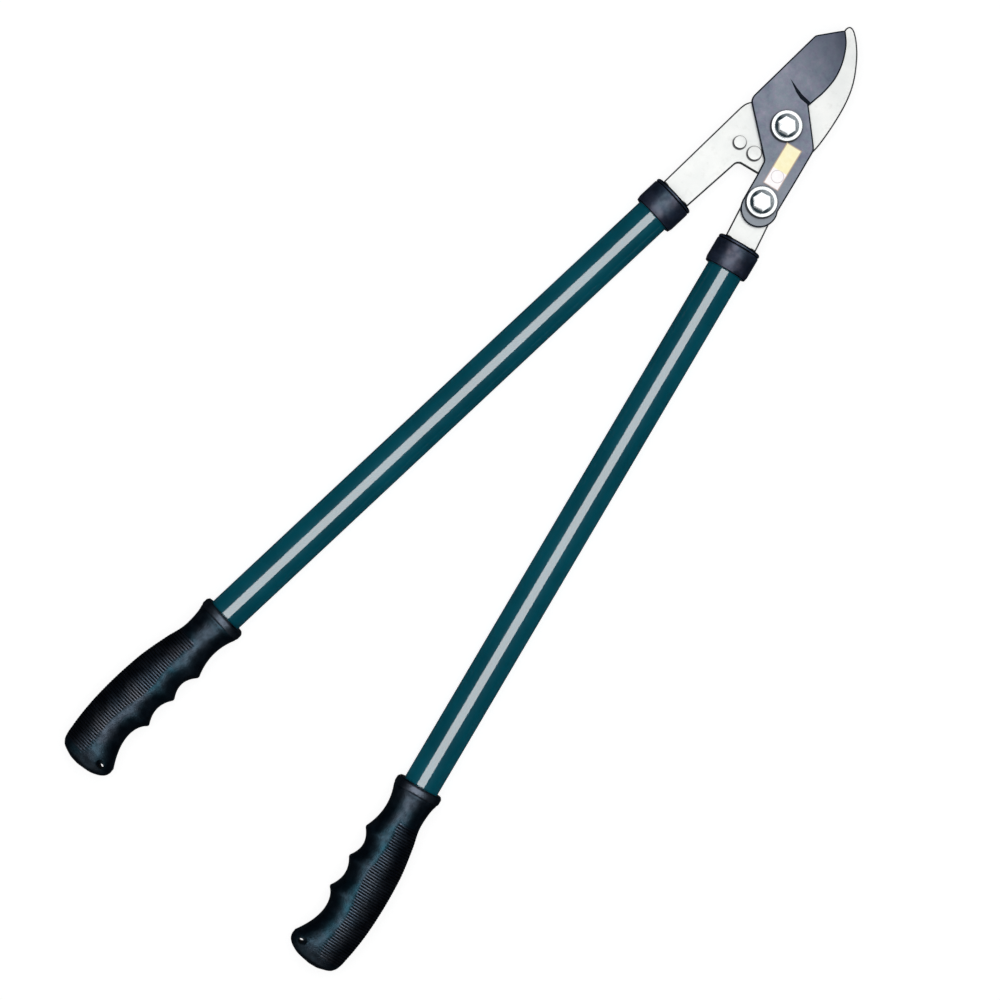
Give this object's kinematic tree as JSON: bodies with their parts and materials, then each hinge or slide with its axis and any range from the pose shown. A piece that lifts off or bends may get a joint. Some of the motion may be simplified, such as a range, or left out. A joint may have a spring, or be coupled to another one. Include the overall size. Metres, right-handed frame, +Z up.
{
  "type": "bypass loppers",
  "caption": "Long-handled bypass loppers with a stepped blade over a hooked plate, flanged bolts, straight round tube handles and scooped grips, lying closed.",
  "frame": {"origin": "middle of the closed tool's footprint, on the floor it lies on", "axes": "+Y from the grips toward the jaws along the middle between the two handles, +Z up out of the plates on the bolt-head side, +X from the left handle to the right handle"},
  "size_m": [0.2414, 0.714, 0.0322],
  "materials": {
    "plate_steel": "satin plated steel plate",
    "coated_steel": "dark low-friction coating on steel",
    "label_foil": "thin pale gold label",
    "bright_steel": "bright plated steel",
    "white_nylon": "matt nylon",
    "black_plastic": "satin moulded plastic",
    "grey_nylon": "matt moulded nylon",
    "teal_paint": "gloss dark teal paint on steel tube",
    "grip_rubber": "satin black grip with fine ribs"
  },
  "bodies": {
    "hook_side": {"hook_plate": "plate_steel", "pivot_bolt": "bright_steel", "pivot_washer": "bright_steel", "pivot_nut": "bright_steel", "pivot_nut_ring": "white_nylon", "closed_stop_rivet": "bright_steel", "open_stop_rivet": "bright_steel", "left_ferrule": "black_plastic", "left_tang_insert": "grey_nylon", "left_tube": "teal_paint", "left_grip": "grip_rubber"},
    "blade": {"cutting_blade": "coated_steel", "blade_label": "label_foil", "link_bolt": "bright_steel", "link_washer": "bright_steel", "link_nut": "bright_steel", "link_nut_ring": "white_nylon"},
    "lever_side": {"lever_plate": "plate_steel", "right_ferrule": "black_plastic", "right_tang_insert": "grey_nylon", "right_tube": "teal_paint", "right_grip": "grip_rubber"}
  },
  "joints": [
    {"name": "blade_hinge", "type": "hinge", "parent": "hook_side", "child": "blade", "pos_m": [0.00166, 0.27781, 0.01612], "axis": [0, 0, 1], "range_deg": [0, 38]},
    {"name": "lever_hinge", "type": "hinge", "parent": "blade", "child": "lever_side", "pos_m": [0.02036, 0.22791, 0.01612], "axis": [0, 0, 1], "range_deg": [0, 47.5]}
  ],
  "couplings": [
    {"joint": "blade_hinge", "follows": "lever_hinge", "ratio": 0.8}
  ]
}
